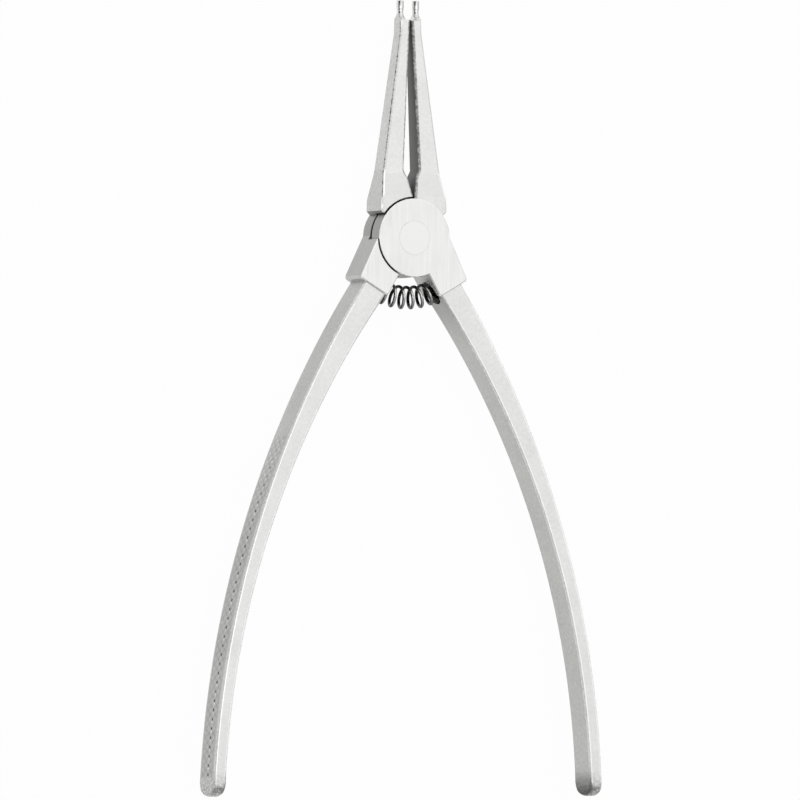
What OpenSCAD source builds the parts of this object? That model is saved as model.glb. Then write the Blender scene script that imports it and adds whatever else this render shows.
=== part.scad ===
// External circlip pliers with straight turned tips.
// Two equal forged levers meet in a half-lap joint on one flush rivet. They do not cross, so
// squeezing the handles opens the tips, and a coil spring between the shoulders closes them.
// The tool lies flat: +Y runs to the tips, +Z to the front face, the pivot is on the Z axis.

/* [Lap joint] */
// Thickness over both laps and over the shoulders
joint_t = 8.7; // [6:0.1:12]
// Radius of the round lap on each lever
disc_r = 8.9; // [7.5:0.1:10.5]
// Radial gap between a lap and the pocket it turns in
pocket_gap = 0.35; // [0.2:0.05:0.8]
// Gap between the two sliding lap faces
lap_gap = 0.1; // [0.04:0.02:0.3]

/* [Rivet] */
// Radius of the rivet shank
rivet_r = 3; // [2:0.1:4]
// Radius of the countersunk rivet heads
rivet_head_r = 3.8; // [3.2:0.1:5]
// Depth of the countersunk rivet heads
rivet_head_h = 0.8; // [0.4:0.1:1.5]
// Radial running clearance of the rivet in the right lever
rivet_clear = 0.03; // [0.02:0.01:0.1]

/* [Jaws] */
// Distance from the pivot to the end face of the jaws
jaw_len = 49.25; // [35:0.25:70]
// Distance from the pivot to the root of the slender part of the jaw
jaw_root = 15.4; // [14.5:0.1:18]
// Length of the parallel nose at the end of a jaw
jaw_nose = 2.7; // [2:0.1:8]
// Gap between the two jaws at their ends
jaw_gap = 0.5; // [0.3:0.1:2]
// Gap between the two jaws at the root of the slender part
jaw_root_gap = 3.8; // [1:0.1:6]
// Width of a jaw at its end
jaw_end_w = 2.45; // [2:0.05:4]
// Width of a jaw at the root of its slender part
jaw_root_w = 5.15; // [4:0.05:6]
// Thickness of a jaw at its end
jaw_end_t = 3.7; // [2.4:0.1:5]
// Thickness of a jaw at the root of its slender part
jaw_root_t = 5.3; // [4:0.1:6]
// Half width of the closed jaws where they meet the joint
jaw_base_w = 8.2; // [7.2:0.1:8.6]
// Thickness of the jaws where they meet the joint
jaw_base_t = 8; // [5.5:0.1:8.5]
// Gap between the two jaws where they meet the joint
jaw_base_gap = 0.4; // [0.3:0.1:1]
// Bevel under the outer corner of the jaw's base
jaw_base_bevel = 0.9; // [0.3:0.1:1.5]
// Length of the ramp from the joint's thickness down to the jaw's
jaw_ramp = 5; // [3:0.1:5.5]
// Length of the step at the root of the slender part
jaw_step = 1.8; // [0.5:0.1:3]

/* [Tips] */
// Radius of the turned tip
tip_r = 0.85; // [0.5:0.05:1.2]
// Length of the turned tip beyond the jaw end
tip_len = 4.65; // [4.4:0.05:7]
// Length of the straight part of the tip
tip_straight = 1.6; // [1.2:0.1:2.4]
// Radius of the neck behind the straight part
tip_neck_r = 0.72; // [0.4:0.02:0.84]
// Radius of the turned fillet at the root of the tip
tip_fillet = 2; // [1:0.05:2.2]
// Bevel round the free end of the tip
tip_bevel = 0.15; // [0.05:0.05:0.3]
// Distance between the axes of the two tips
tip_spacing = 3.9; // [3.5:0.1:4.4]

/* [Shoulders] */
// Length of the shoulder block along the handle, from the pivot
shoulder_len = 14.8; // [13:0.1:17]
// Offset of the shoulder's inner face from the handle's ray through the pivot
shoulder_in = 0.9; // [0.4:0.1:1.5]
// Offset of the shoulder's outer face from the same ray, at the joint
shoulder_out_top = 7.9; // [7:0.1:8.5]
// Offset of the shoulder's outer face from the same ray, at the lower corner
shoulder_out_low = 7.1; // [6.5:0.1:8]
// Radius of the shoulder's two lower corners
shoulder_round = 0.8; // [0.3:0.1:1.5]

/* [Handles] */
// Angle of each handle to the long axis where it leaves the shoulder
handle_angle = 30; // [26:1:34]
// Distance from the pivot back to the handle ends, along the long axis
handle_len = 126.1; // [100:0.1:150]
// Thickness of the handles
handle_t = 7.8; // [5:0.1:8.5]
// Radius of the palm side of the handle
palm_arc_r = 224; // [190:1:280]
// Offset of the palm side from the handle's ray, where the two run parallel
palm_out = 5.9; // [5:0.1:6.5]
// Distance along the ray at which the palm side runs parallel to it
palm_mid = 28.2; // [22:0.1:34]
// Radius of the inner side of the handle
inner_arc_r = 198; // [170:1:220]
// Offset of the inner side from the handle's ray, where the two run parallel
inner_out = 0.8; // [0.2:0.1:1.5]
// Distance along the ray at which the inner side runs parallel to it
inner_mid = 37.5; // [30:0.1:44]
// Radius of the long edges of the handle
handle_edge = 0.6; // [0.2:0.05:1.2]
// Radius of the domed handle end, seen from the side
handle_dome = 3; // [1:0.1:3.5]
// Radius of the handle end's corners, seen from the front
handle_corner = 1.2; // [0.4:0.1:1.5]

/* [Spring] */
// Wire thickness of the return spring
spring_wire = 0.75; // [0.5:0.05:1]
// Mean radius of the coils
spring_r = 2.35; // [1.8:0.05:2.5]
// Number of turns, with one closed turn at each end
spring_turns = 9; // [6:0.5:10]
// Distance from the pivot down to the middle of the bowed spring
spring_drop = 13.4; // [12.8:0.1:14]
// How far the spring's ends reach past the handle's ray into the shoulders
spring_seat = 1.5; // [1:0.1:2]
// Clearance round the spring in its pocket
spring_clear = 0.3; // [0.2:0.05:0.6]
// Clearance between the spring's ends and the floors of the pockets
spring_end_clear = 0.05; // [0.02:0.01:0.2]

/* [Hidden] */
$fn = 96;

// Cuts run past a face by this much
over = 1;
// Share of its radius at which a rounding's centre lies inside the corner
edge_grind = 0.995;
half_t = joint_t / 2;
pocket_r = disc_r + pocket_gap;
tip_x = tip_spacing / 2;

// Inner and outer edges of the right jaw, from the end back to the joint
jaw_end_in = jaw_gap / 2;
jaw_end_out = jaw_end_in + jaw_end_w;
jaw_root_in = jaw_root_gap / 2;
jaw_root_out = jaw_root_in + jaw_root_w;
jaw_base_in = jaw_base_gap / 2;
// The bevel under the jaw's base runs into the lap disc at this height over the pivot
jaw_foot = sqrt(disc_r ^ 2 - (jaw_base_w - jaw_base_bevel) ^ 2);
// The ramp of the jaw's thickness runs out halfway along the step
jaw_ramp_end = jaw_root - jaw_step / 2;

// The shoulder's outer face leans a little, and runs into the lap disc at this distance
shoulder_top = sqrt(disc_r ^ 2 - shoulder_out_top ^ 2);
shoulder_lean = (shoulder_out_top - shoulder_out_low) / (shoulder_len - shoulder_top);

// Where the spring's bowed axis meets the floors of its pockets at a right angle
spring_bow_r = spring_drop + spring_seat / sin(handle_angle);
spring_pocket_s = spring_bow_r - spring_seat / tan(handle_angle);
spring_pocket_r = spring_r + spring_wire / 2 + spring_clear;
spring_pocket_floor = spring_seat + spring_wire / 2 + spring_end_clear;

// Centres of the handle's two arcs, and the edges of its end, seen from the front
function from_handle_frame(p) = [
    p.x * sin(handle_angle) + p.y * cos(handle_angle),
    p.y * sin(handle_angle) - p.x * cos(handle_angle)
];
function arc_x(centre, r, y) = centre.x + sqrt(r ^ 2 - (y - centre.y) ^ 2);
palm_centre = from_handle_frame([palm_mid, palm_out - palm_arc_r]);
inner_centre = from_handle_frame([inner_mid, inner_out - inner_arc_r]);
end_out = arc_x(palm_centre, palm_arc_r, -handle_len);
end_in = arc_x(inner_centre, inner_arc_r, -handle_len);
// Least width left flat between the two corners of a handle's end
end_flat = 0.1;

// The handle's own frame: x along the ray of the handle, y out to the palm
module handle_frame() {
    rotate([0, 0, handle_angle - 90]) children();
}

// What rounds a square corner at the origin whose sides run along -x and -y.
// The arc meets both sides at a slight angle, as a ground edge does.
module corner_cut(r) {
    difference() {
        translate([-r, -r]) square(r + over);
        translate([-r, -r] * edge_grind) circle(r);
    }
}

// An outline that is the same on both sides of the x axis, from its upper edge
module both_sides(edge) {
    polygon(concat(edge, [for (i = [len(edge) - 1 : -1 : 0]) [edge[i].x, -edge[i].y]]));
}

// Seen from the front: the slender jaw, the step at its root and its base on the joint
module jaw_plan() {
    polygon([
        [jaw_end_in, jaw_len + tip_fillet],
        [jaw_end_in, jaw_len],
        [jaw_root_in, jaw_root],
        [(jaw_root_in + jaw_base_in) / 2, jaw_root - jaw_step],
        [jaw_base_in, disc_r + pocket_gap / 2],
        [jaw_base_in, 0],
        [jaw_base_w / 2, 0],
        [jaw_base_w - jaw_base_bevel - over, jaw_foot - over],
        [jaw_base_w, jaw_foot + jaw_base_bevel],
        [jaw_base_w, disc_r - jaw_base_bevel],
        [jaw_root_out, jaw_root],
        [jaw_end_out, jaw_len - jaw_nose],
        [jaw_end_out, jaw_len + tip_fillet]
    ]);
}

// Seen from the side: the jaw tapers to its end and ramps up to the joint
module jaw_side() {
    both_sides([
        [0, jaw_base_t / 2],
        [jaw_ramp_end - jaw_ramp, jaw_base_t / 2],
        [jaw_ramp_end, jaw_root_t / 2],
        [jaw_len, jaw_end_t / 2],
        [jaw_len + tip_fillet, jaw_end_t / 2]
    ]);
}

// The jaw before its tip is turned
module jaw_blank() {
    intersection() {
        translate([0, 0, -half_t]) linear_extrude(joint_t) jaw_plan();
        rotate([90, 0, 90]) linear_extrude(2 * jaw_base_w) jaw_side();
    }
}

// Places a turned shape on the axis of the tip, with its foot on the jaw's end
module on_tip_axis() {
    translate([tip_x, jaw_len, 0]) rotate([-90, 0, 0]) rotate_extrude() children();
}

// Half outline of the turned tip: a fillet, a slim neck and a straight pin
module tip_outline() {
    cove_r = tip_neck_r + tip_fillet;
    polygon([
        [0, 0],
        [tip_neck_r, 0],
        [tip_neck_r, tip_fillet],
        [tip_r, tip_len - tip_straight],
        [tip_r, tip_len - tip_bevel],
        [tip_r - tip_bevel, tip_len],
        [0, tip_len]
    ]);
    difference() {
        square([cove_r, tip_fillet]);
        translate([cove_r, tip_fillet]) circle(tip_fillet);
    }
}

// The jaw with its tip turned on it: the lathe takes off all that lies outside the outline
module jaw() {
    rod_foot = tip_fillet - tip_bevel;
    difference() {
        union() {
            jaw_blank();
            on_tip_axis() translate([0, rod_foot]) square([tip_r + tip_bevel, tip_len]);
        }
        on_tip_axis() difference() {
            square([jaw_end_w + jaw_end_t, 2 * tip_len]);
            tip_outline();
        }
    }
}

// The shoulder block stands proud of the handle all round and carries the spring pocket
module shoulder() {
    translate([0, 0, -half_t]) linear_extrude(joint_t) handle_frame() difference() {
        polygon([
            [0, -shoulder_in],
            [shoulder_len, -shoulder_in],
            [shoulder_len, shoulder_out_low],
            [shoulder_top - over, shoulder_out_top + over * shoulder_lean],
            [0, disc_r / 2]
        ]);
        translate([shoulder_len, shoulder_out_low]) corner_cut(shoulder_round);
        translate([shoulder_len, -shoulder_in]) mirror([0, 1]) corner_cut(shoulder_round);
    }
}

// The palm side: a disc whose two rims are rounded
module palm_disc() {
    rotate_extrude($fn = 360) translate([0, -handle_t / 2]) difference() {
        square([palm_arc_r, handle_t]);
        translate([palm_arc_r, handle_t]) corner_cut(handle_edge);
        translate([palm_arc_r, 0]) mirror([0, 1]) corner_cut(handle_edge);
    }
}

// What is cut away inside the handle: a disc whose rims flare to round the inner edges
module inner_cut() {
    rotate_extrude($fn = 360) {
        translate([0, -handle_t / 2 - over]) square([inner_arc_r, handle_t + 2 * over]);
        translate([inner_arc_r, handle_t / 2]) mirror([1, 0]) corner_cut(handle_edge);
        translate([inner_arc_r, -handle_t / 2]) rotate(180) corner_cut(handle_edge);
    }
}

// The handle's reach seen from the front, with rounded corners at its far end
module handle_reach() {
    r = min(handle_corner, (end_out - end_in - end_flat) / 2);
    translate([0, r - handle_len]) square([palm_arc_r, handle_len - r]);
    translate([end_in + r, -handle_len]) square([end_out - end_in - 2 * r, r + over]);
    for (x = [end_in + r, end_out - r]) translate([x, r - handle_len]) circle(r);
}

// What rounds the far end into a dome, at the front edge of the end
module dome_cut() {
    translate([0, -handle_len, handle_t / 2]) rotate([90, 0, 90]) {
        linear_extrude(palm_arc_r) mirror([1, 0]) corner_cut(handle_dome);
    }
}

module handle() {
    difference() {
        intersection() {
            handle_frame() translate([palm_mid, palm_out - palm_arc_r, 0]) palm_disc();
            translate([0, 0, -handle_t]) linear_extrude(2 * handle_t) handle_reach();
        }
        handle_frame() {
            translate([inner_mid, inner_out - inner_arc_r, 0]) inner_cut();
            translate([-palm_arc_r, -palm_arc_r, -handle_t]) {
                cube([palm_arc_r + shoulder_len - over, 2 * palm_arc_r, 2 * handle_t]);
            }
        }
        dome_cut();
        mirror([0, 0, 1]) dome_cut();
    }
}

// The spring pocket is bored square to the shoulder's inner face
module spring_pocket() {
    handle_frame() translate([spring_pocket_s, spring_pocket_floor, 0]) {
        rotate([90, 0, 0]) cylinder(r = spring_pocket_r, h = spring_pocket_floor + shoulder_in + over);
    }
}

// The rivet: a shank with a countersunk head at each end, ground flush
module rivet_shape(clear = 0) {
    rotate_extrude() polygon([
        [0, -half_t],
        [rivet_head_r + clear, -half_t],
        [rivet_r + clear, rivet_head_h - half_t],
        [rivet_r + clear, half_t - rivet_head_h],
        [rivet_head_r + clear, half_t],
        [0, half_t]
    ]);
}

// The right lever, with its lap disc at the front
module lever(rivet_fit) {
    difference() {
        union() {
            cylinder(r = disc_r, h = half_t);
            jaw();
            shoulder();
            handle();
        }
        translate([0, 0, -half_t - over]) cylinder(r = pocket_r, h = half_t + over + lap_gap / 2);
        rivet_shape(rivet_fit);
        spring_pocket();
    }
}

// Points along the spring: u is the number of turns from its left end
spring_arc = spring_bow_r * handle_angle * PI / 90;
spring_closed_pitch = spring_wire + spring_end_clear;
spring_open_pitch = (spring_arc - 2 * spring_closed_pitch) / (spring_turns - 2);
function spring_run(u) = spring_closed_pitch * min(u, 1)
    + spring_open_pitch * min(max(u - 1, 0), spring_turns - 2)
    + spring_closed_pitch * max(u - spring_turns + 1, 0);
function spring_bow(u) = -handle_angle + spring_run(u) / spring_bow_r * 180 / PI;
function spring_out(u) = [sin(spring_bow(u)), -cos(spring_bow(u)), 0];
function spring_side(u) = cos(360 * u) * spring_out(u) - [0, 0, sin(360 * u)];
function spring_axis(u) = [0, spring_bow_r - spring_drop, 0] + spring_bow_r * spring_out(u);
function spring_point(u) = spring_axis(u) + spring_r * spring_side(u);
function unit(v) = v / norm(v);
// Direction of the wire, over a short step to each side
spring_step = 0.01;
function spring_along(u) = unit(spring_point(u + spring_step) - spring_point(u - spring_step));
function spring_ring(u, sides) = [
    for (k = [0 : sides - 1])
        spring_point(u) + spring_wire / 2 * (
            cos(360 * k / sides) * spring_side(u)
            + sin(360 * k / sides) * unit(cross(spring_along(u), spring_side(u)))
        )
];

module left_lever() {
    color([0.80, 0.80, 0.78]) translate([0, 0, half_t]) rotate([0, 180, 0]) lever(0);
}

module right_lever() {
    color([0.86, 0.86, 0.84]) translate([0, 0, half_t]) lever(rivet_clear);
}

module pivot_rivet() {
    color([0.70, 0.70, 0.68]) translate([0, 0, half_t]) rivet_shape();
}

module return_spring() {
    sides = 8;
    rings_per_turn = 20;
    last = spring_turns * rings_per_turn;
    points = [for (i = [0 : last]) each spring_ring(i / rings_per_turn, sides)];
    skin = [
        for (i = [0 : last - 1], k = [0 : sides - 1]) let (m = (k + 1) % sides)
            [i * sides + k, i * sides + m, (i + 1) * sides + m, (i + 1) * sides + k]
    ];
    near_cap = [for (k = [sides - 1 : -1 : 0]) k];
    far_cap = [for (k = [0 : sides - 1]) last * sides + k];
    color([0.15, 0.15, 0.16]) translate([0, 0, half_t]) {
        polyhedron(points, concat([near_cap], skin, [far_cap]));
    }
}

left_lever();
right_lever();
pivot_rivet();
return_spring();
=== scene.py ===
# External circlip pliers with straight turned tips, lying on a white table. All sizes are metres.
import math
from functools import partial

import bmesh
import bpy
from mathutils import Matrix, Vector


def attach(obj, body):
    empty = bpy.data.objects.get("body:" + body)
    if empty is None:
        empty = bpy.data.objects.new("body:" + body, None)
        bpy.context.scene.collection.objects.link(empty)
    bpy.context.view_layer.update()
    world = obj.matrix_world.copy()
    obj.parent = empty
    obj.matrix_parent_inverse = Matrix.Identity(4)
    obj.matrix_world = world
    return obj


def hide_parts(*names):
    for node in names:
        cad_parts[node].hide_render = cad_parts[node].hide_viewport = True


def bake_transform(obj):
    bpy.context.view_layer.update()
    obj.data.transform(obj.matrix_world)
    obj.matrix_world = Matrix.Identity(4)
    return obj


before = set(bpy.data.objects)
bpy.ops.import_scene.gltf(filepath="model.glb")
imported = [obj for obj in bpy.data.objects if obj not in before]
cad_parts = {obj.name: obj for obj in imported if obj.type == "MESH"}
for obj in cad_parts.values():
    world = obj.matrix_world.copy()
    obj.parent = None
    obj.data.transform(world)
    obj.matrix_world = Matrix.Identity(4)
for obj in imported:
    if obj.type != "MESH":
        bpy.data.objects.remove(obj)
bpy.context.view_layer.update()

# Levers
# Two like steel forgings, one turned over, each with its tip, jaw, half of the lap joint and handle.
# They are satin chrome plated: the joint is ground bright, jaws and handles are plated over a blasted
# skin, the tips are turned, the edges are eased by tumbling, and the handle ends are worn.
MM = 0.001

# Sizes of the forging, as in the solids
JOINT_THICKNESS = 8.7 * MM
MID_HEIGHT = JOINT_THICKNESS / 2
DISC_RADIUS = 8.9 * MM
POCKET_RIM = 9.25 * MM
RIVET_REACH = 5 * MM
JAW_LENGTH = 49.25 * MM
JAW_ROOT = 15.4 * MM
SHOULDER_LENGTH = 14.8 * MM
HANDLE_ANGLE = math.radians(30)
HANDLE_LENGTH = 126.1 * MM
HANDLE_THICKNESS = 7.8 * MM
HANDLE_ROOT = 13.8 * MM
HANDLE_EDGE = 0.6 * MM
HANDLE_CORNER = 1.2 * MM
HANDLE_DOME = 3 * MM
PALM_RADIUS = 224 * MM
PALM_MID = 28.2 * MM  # from the pivot along the handle's ray to where the palm bows out furthest
PALM_OUT = 5.9 * MM  # how far out of the ray it bows there
INNER_RADIUS = 198 * MM
INNER_MID = 37.5 * MM  # the same two sizes of the inner arc
INNER_OUT = 0.8 * MM
SPRING_SEAT = 13.8 * MM
SEAT_RADIUS = 3.025 * MM
SEAT_FLOOR = 1.925 * MM


def add(tree, kind, inputs=None, **settings):
    """Add a node to a tree. Each input is a plain value or the socket that feeds it."""
    node = tree.nodes.new(kind)
    for setting, value in settings.items():
        setattr(node, setting, value)
    for socket, value in (inputs or {}).items():
        if isinstance(value, bpy.types.NodeSocket):
            tree.links.new(value, node.inputs[socket])
        else:
            node.inputs[socket].default_value = value
    return node


def math_of(tree, operation, *values):
    """A math node's result."""
    return add(tree, "ShaderNodeMath", dict(enumerate(values)), operation=operation).outputs[0]


def mixed(tree, share, first, second):
    """A colour between two colours."""
    return add(tree, "ShaderNodeMix", {0: share, 6: first, 7: second}, data_type="RGBA").outputs[2]


def mapped(tree, value, low, high, to_low, to_high):
    """A value mapped from one range to another and held there."""
    ends = {"From Min": low, "From Max": high, "To Min": to_low, "To Max": to_high}
    return add(tree, "ShaderNodeMapRange", {"Value": value, **ends}).outputs["Result"]


NOISE_SPAN = (0.3, 0.7)


def spread(tree, value, low, high):
    """A noise value, which stays near the middle, spread from low to high."""
    return mapped(tree, value, *NOISE_SPAN, low, high)


def noise(tree, place, scale, detail, stretch=(1, 1, 1)):
    """A noise value between 0 and 1, with its grain stretched along the axes."""
    grain = add(tree, "ShaderNodeMapping", {"Vector": place, "Scale": stretch}).outputs["Vector"]
    return add(tree, "ShaderNodeTexNoise", {"Vector": grain, "Scale": scale, "Detail": detail}).outputs[0]


# Colour, roughness and grain of each finish
FINISHES = {
    "ground joint": {"colour": (0.85, 0.85, 0.84), "rough": 0.34, "brushed": 1.0, "blasted": 0.0},
    "plated flat": {"colour": (0.80, 0.80, 0.79), "rough": 0.40, "brushed": 0.2, "blasted": 0.4},
    # The eased edges are partly polished bright by tumbling and partly a painted highlight
    "eased edge": {"colour": (0.96, 0.96, 0.95), "rough": 0.24, "brushed": 0.0, "blasted": 0.2},
    # Painted shade: a dark dotted band on the eased outer edges of the jaws
    "dark jaw edge": {"colour": (0.46, 0.46, 0.45), "rough": 0.45, "brushed": 0.0, "blasted": 8.0},
    "inner edge": {"colour": (0.70, 0.70, 0.69), "rough": 0.80, "brushed": 0.0, "blasted": 4.0},
    # The handles' rounded edges are near white: partly polished by tumbling, partly a painted highlight
    "handle edge": {"colour": (0.98, 0.98, 0.97), "rough": 0.80, "brushed": 0.0, "blasted": 0.8},
    # The end faces of the handles that turn away from the tips are dark: partly wear, partly painted shade
    "handle end": {"colour": (0.52, 0.52, 0.51), "rough": 0.50, "brushed": 0.0, "blasted": 2.0},
    # Painted highlight: the first facet of each handle's rounded edge is near white, to show a thin bright
    # line
    "highlight edge": {"colour": (0.98, 0.98, 0.97), "rough": 0.30, "brushed": 0.0, "blasted": 0.3},
    # Painted shade: the faces at the jaw's foot that turn towards the handles, away from the light, are dark
    "shaded jaw foot": {"colour": (0.20, 0.20, 0.195), "rough": 0.42, "brushed": 0.0, "blasted": 0.6},
    "jaw ramp": {"colour": (0.73, 0.73, 0.72), "rough": 0.40, "brushed": 0.4, "blasted": 0.3},
    "blasted side": {"colour": (0.60, 0.60, 0.585), "rough": 0.52, "brushed": 0.0, "blasted": 1.0},
    "shoulder side": {"colour": (0.52, 0.52, 0.505), "rough": 0.50, "brushed": 0.0, "blasted": 0.7},
    # Painted shade: the handle sides that face the other handle are a little darker than the other blasted
    # sides
    "inner side": {"colour": (0.55, 0.55, 0.535), "rough": 0.52, "brushed": 0.0, "blasted": 1.0},
    "jaw side": {"colour": (0.67, 0.67, 0.66), "rough": 0.50, "brushed": 0.0, "blasted": 1.0},
    "jaw base": {"colour": (0.62, 0.62, 0.61), "rough": 0.50, "brushed": 0.0, "blasted": 1.0},
    # Painted shade: the upright faces of the lap joint round the disc are dark for the shade in the joint
    "shaded lap side": {"colour": (0.38, 0.38, 0.365), "rough": 0.45, "brushed": 0.0, "blasted": 0.6},
    # Painted shade: the jaw faces that face the other jaw are near black for the shade in the gap between the
    # jaws
    "shaded inner jaw": {"colour": (0.165, 0.165, 0.163), "rough": 0.50, "brushed": 0.0, "blasted": 1.0},
    "turned tip": {"colour": (0.74, 0.74, 0.73), "rough": 0.14, "brushed": 0.0, "blasted": 0.0},
    "oily seam": {"colour": (0.05, 0.05, 0.048), "rough": 0.45, "brushed": 0.0, "blasted": 0.4},
}

# Wear at the handle ends, the dark of dirt and painted shade, and the painted highlight on the knurl's lips
WORN_STEEL = (0.32, 0.315, 0.30, 1)
SCUFFED_STEEL = (0.97, 0.97, 0.96, 1)
# Colour of dirt and of painted shade
DIRT_AND_SHADE = (0.06, 0.06, 0.057, 1)
# Colour of the painted highlight on the knurl's lips
LIP_HIGHLIGHT = (0.97, 0.97, 0.96, 1)
WORN_LENGTH = 6 * MM
WORN_THROUGH = 0.3 * WORN_LENGTH
MOST_WORN = 0.75

# Grain of the plate: how fine it is, how far it shifts tone and roughness, and how deep it goes
CLOUD_SCALE = 120
GRINDING_SCALE = 900
GRINDING_STRETCH = (2.4, 0.09, 2.4)
SKIN_SCALE = 1500
PIT_SCALE = 1900
NICK_SCALE = 2600
NICK_RANGE = (0.56, 0.66)
CLOUD_TONE = (0.97, 1.03)
GRINDING_TONE = (-0.06, 0.05)
SKIN_TONE = (-0.13, 0.13)
GRAIN_ROUGHNESS = (-0.06, 0.06)
WORN_ROUGHNESS = 0.15
GRINDING_RELIEF = 0.3
GRINDING_DEPTH = 0.02 * MM
SKIN_RELIEF = 0.6
SKIN_DEPTH = 0.08 * MM


def plated_steel():
    """Satin chrome plate that takes its colour, roughness and grain from the finish of each face."""
    steel = bpy.data.materials.new("plated_steel")
    steel.use_nodes = True
    tree = steel.node_tree
    calc = partial(math_of, tree)

    def layer(name, output="Fac"):
        return add(tree, "ShaderNodeAttribute", attribute_name=name).outputs[output]

    place = add(tree, "ShaderNodeTexCoord").outputs["Object"]
    colour = layer("colour", "Color")
    rough, brushed, blasted = layer("rough"), layer("brushed"), layer("blasted")
    clouds = noise(tree, place, CLOUD_SCALE, detail=3)
    lines = noise(tree, place, GRINDING_SCALE, detail=4, stretch=GRINDING_STRETCH)
    skin = noise(tree, place, SKIN_SCALE, detail=4)
    pits = noise(tree, place, PIT_SCALE, detail=4)
    nicks = noise(tree, place, NICK_SCALE, detail=2)

    height = add(tree, "ShaderNodeSeparateXYZ", {0: place}).outputs["Y"]
    past = mapped(tree, height, WORN_LENGTH - HANDLE_LENGTH, WORN_THROUGH - HANDLE_LENGTH, 0.0, 1.0)
    worn = calc("MULTIPLY", past, spread(tree, pits, 0.0, MOST_WORN))
    scuffs = calc("MULTIPLY", past, mapped(tree, nicks, *NICK_RANGE, 0.0, 1.0))
    worn_colour = mixed(tree, scuffs, mixed(tree, worn, colour, WORN_STEEL), SCUFFED_STEEL)
    line_tone = calc("MULTIPLY", brushed, spread(tree, lines, *GRINDING_TONE))
    skin_tone = calc("MULTIPLY", blasted, spread(tree, skin, *SKIN_TONE))
    tone = calc("ADD", spread(tree, clouds, *CLOUD_TONE), calc("ADD", line_tone, skin_tone))
    toned = add(tree, "ShaderNodeVectorMath", {0: worn_colour, "Scale": tone}, operation="SCALE").outputs[0]
    # Dirt and painted shade darken the knurl's grooves and the handles' inner sides, and a painted highlight
    # lights the knurl's lips
    toned = mixed(tree, layer("lip"), mixed(tree, layer("dirt_and_shade"), toned, DIRT_AND_SHADE), LIP_HIGHLIGHT)

    line_rough = calc("MULTIPLY", brushed, spread(tree, lines, *GRAIN_ROUGHNESS))
    skin_rough = calc("MULTIPLY", blasted, spread(tree, skin, *GRAIN_ROUGHNESS))
    roughness = calc("ADD", rough, calc("ADD", line_rough, skin_rough))
    roughness = calc("ADD", roughness, calc("MULTIPLY", worn, WORN_ROUGHNESS))

    grinding = calc("MULTIPLY", lines, brushed)
    marks = {"Strength": GRINDING_RELIEF, "Distance": GRINDING_DEPTH, "Height": grinding}
    scored = add(tree, "ShaderNodeBump", marks).outputs[0]
    grain = calc("ADD", calc("MULTIPLY", skin, blasted), calc("MULTIPLY", pits, worn))
    relief = {"Strength": SKIN_RELIEF, "Distance": SKIN_DEPTH, "Height": grain, "Normal": scored}
    shader = tree.nodes["Principled BSDF"]
    shader.inputs["Metallic"].default_value = 1.0
    tree.links.new(toned, shader.inputs["Base Color"])
    tree.links.new(roughness, shader.inputs["Roughness"])
    tree.links.new(add(tree, "ShaderNodeBump", relief).outputs[0], shader.inputs["Normal"])
    return steel


def finish_faces(mesh, finish_of):
    """Give each face the colour and the grain of the finish that the function names for it."""
    names = [finish_of(face) for face in mesh.polygons]
    for part in ("rough", "brushed", "blasted"):
        layer = mesh.attributes.new(part, "FLOAT", "FACE")
        layer.data.foreach_set("value", [FINISHES[name][part] for name in names])
    layer = mesh.attributes.new("colour", "FLOAT_COLOR", "FACE")
    layer.data.foreach_set("color", [channel for name in names for channel in (*FINISHES[name]["colour"], 1)])


# How finely the forging is meshed, and how its edges are eased and shaded
HANDLE_RINGS = 90
EDGE_STEPS = 5
DOME_STEPS = 10
DOME_EDGE_SHARE = 0.9
END_EDGE_SHARE = 0.45
SEAT_SIDES = 64
WELD = 0.001 * MM
SAW_ALLOWANCE = 3 * WELD
FLAT_ANGLE = math.radians(0.5)
CRISP_ANGLE = math.radians(34)
SHADED_ANGLE = math.radians(38)
CREASE_ANGLE = math.radians(4)
LEVEL_SLANT = 0.9985
UPRIGHT_SLANT = 0.03
EASE_STEPS = 2
JAW_EASE = 0.48 * MM
SEAM_EASE = 0.38 * MM
SHOULDER_EASE = 0.28 * MM
RIM_EASE = 0.15 * MM
RIM_BAND = 0.05 * MM
JAW_END_BAND = 0.5 * MM


def from_ray(along, out):
    """A plan point of the right lever, along the handle's ray from the pivot and out to the palm."""
    sine, cosine = math.sin(HANDLE_ANGLE), math.cos(HANDLE_ANGLE)
    return Vector((along * sine + out * cosine, out * sine - along * cosine))


def ease_of(edge, way):
    """How far a crisp edge of the forging is eased, by where it lies."""
    middle = (edge.verts[0].co + edge.verts[1].co) / 2
    reach = middle.xy.length
    ray = from_ray(1, 0)
    along = way * middle.x * ray.x + middle.y * ray.y
    if reach < RIVET_REACH or middle.y > JAW_LENGTH - RIM_EASE:
        return 0.0
    if math.hypot(along - SPRING_SEAT, middle.z - MID_HEIGHT) < SEAT_RADIUS + WELD and reach > POCKET_RIM:
        return 0.0
    ends = [corner.co.xy.length for corner in edge.verts]
    if all(min(abs(end - DISC_RADIUS), abs(end - POCKET_RIM)) < RIM_BAND for end in ends):
        return SEAM_EASE if abs(middle.z - MID_HEIGHT) < SEAM_EASE else RIM_EASE
    if middle.y > DISC_RADIUS:
        return JAW_EASE
    return SHOULDER_EASE if reach > POCKET_RIM else RIM_EASE


def trim_jaw_end(bm):
    """Bring the corners of the jaw's turned end in line with its eased edges."""
    end = [corner for corner in bm.verts if abs(corner.co.y - JAW_LENGTH) < JAW_END_BAND]
    low_x, high_x = min(corner.co.x for corner in end), max(corner.co.x for corner in end)
    low_z, high_z = min(corner.co.z for corner in end), max(corner.co.z for corner in end)
    for corner in end:
        x, y, z = corner.co
        x = min(max(x, low_x + JAW_EASE), high_x - JAW_EASE)
        z = min(max(z, low_z + JAW_EASE), high_z - JAW_EASE)
        past = corner.co - Vector((x, y, z))
        if past.length > JAW_EASE:
            corner.co = Vector((x, y, z)) + past * (JAW_EASE / past.length)


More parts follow.
